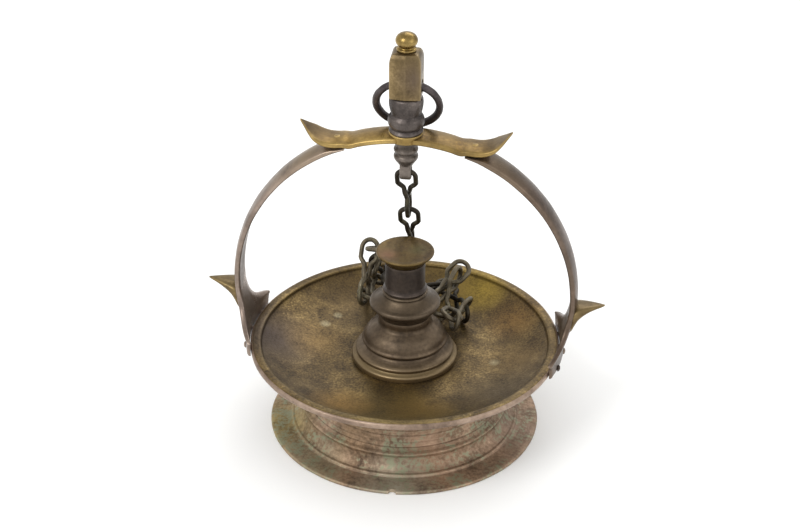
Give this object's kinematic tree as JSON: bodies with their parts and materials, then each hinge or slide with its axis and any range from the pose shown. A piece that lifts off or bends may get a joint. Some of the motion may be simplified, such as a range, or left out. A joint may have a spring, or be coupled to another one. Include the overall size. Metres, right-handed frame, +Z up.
{
  "type": "sanctuary lamp",
  "caption": "Footed round metal dish with a turned pillar, a band bail over it, a ringed finial and a loose chain.",
  "frame": {"origin": "middle of the foot, on the surface that the lamp stands on", "axes": "+Z up the pillar, +X along the bail from leg to leg, +Y towards the back, where the chain hangs"},
  "size_m": [0.2682, 0.21, 0.2899],
  "materials": {
    "aged_bronze": "aged, mottled golden brown",
    "dark_bronze": "dark brown patina",
    "polished_brass": "rubbed bright",
    "verdigris_bronze": "brown with green patches",
    "dark_iron": "dark, dull"
  },
  "bodies": {
    "lamp": {"bail_crown": "aged_bronze", "bail_leg_left": "aged_bronze", "bail_leg_right": "aged_bronze", "crown_rivet_left": "dark_bronze", "crown_rivet_right": "dark_bronze", "dish": "aged_bronze", "finial_knob": "polished_brass", "finial_post": "aged_bronze", "foot_ring": "verdigris_bronze", "foot_rivet_left_1": "dark_bronze", "foot_rivet_left_2": "dark_bronze", "foot_rivet_left_3": "dark_bronze", "foot_rivet_right_1": "dark_bronze", "foot_rivet_right_2": "dark_bronze", "foot_rivet_right_3": "dark_bronze", "pillar_base": "dark_bronze", "pillar_cap": "aged_bronze", "pillar_collar": "dark_bronze", "pillar_stem": "dark_bronze", "swivel_boss": "dark_bronze", "tie_nut": "dark_iron", "tie_rod": "dark_iron", "tie_washer": "dark_iron"},
    "ring": {"hanging_ring": "dark_iron"},
    "swivel": {"swivel_eye": "dark_iron", "swivel_nut": "dark_iron"},
    "chain_link_01": {"chain_link_01": "dark_iron"},
    "chain_link_02": {"chain_link_02": "dark_iron"},
    "chain_heap": {"chain_link_03": "dark_iron", "chain_link_04": "dark_iron", "chain_link_05": "dark_iron", "chain_link_06": "dark_iron", "chain_link_07": "dark_iron", "chain_link_08": "dark_iron", "chain_link_09": "dark_iron", "chain_link_10": "dark_iron", "chain_link_11": "dark_iron", "chain_link_12": "dark_iron", "chain_link_13": "dark_iron", "chain_link_14": "dark_iron"}
  },
  "joints": [
    {"name": "ring_swing", "type": "hinge", "parent": "lamp", "child": "ring", "pos_m": [0, 0, 0.254], "axis": [1, 0, 0], "range_deg": [0, 310]},
    {"name": "chain_swivel", "type": "hinge", "parent": "lamp", "child": "swivel", "pos_m": [0, 0, 0.1919], "axis": [0, 0, 1], "continuous": true},
    {"name": "link_01_swing", "type": "hinge", "parent": "swivel", "child": "chain_link_01", "pos_m": [0, 0.0006, 0.1908], "axis": [1, 0, 0], "range_deg": [0, 8]},
    {"name": "link_02_swing", "type": "hinge", "parent": "chain_link_01", "child": "chain_link_02", "pos_m": [0, 0.01728, 0.15335], "axis": [1, 0, 0], "range_deg": [-16, 0]},
    {"name": "heap_lift", "type": "slide", "parent": "swivel", "child": "chain_heap", "axis": [0, 0, 1], "range_m": [0, 0.002]}
  ],
  "couplings": [
    {"joint": "link_02_swing", "follows": "link_01_swing", "ratio": -2}
  ]
}
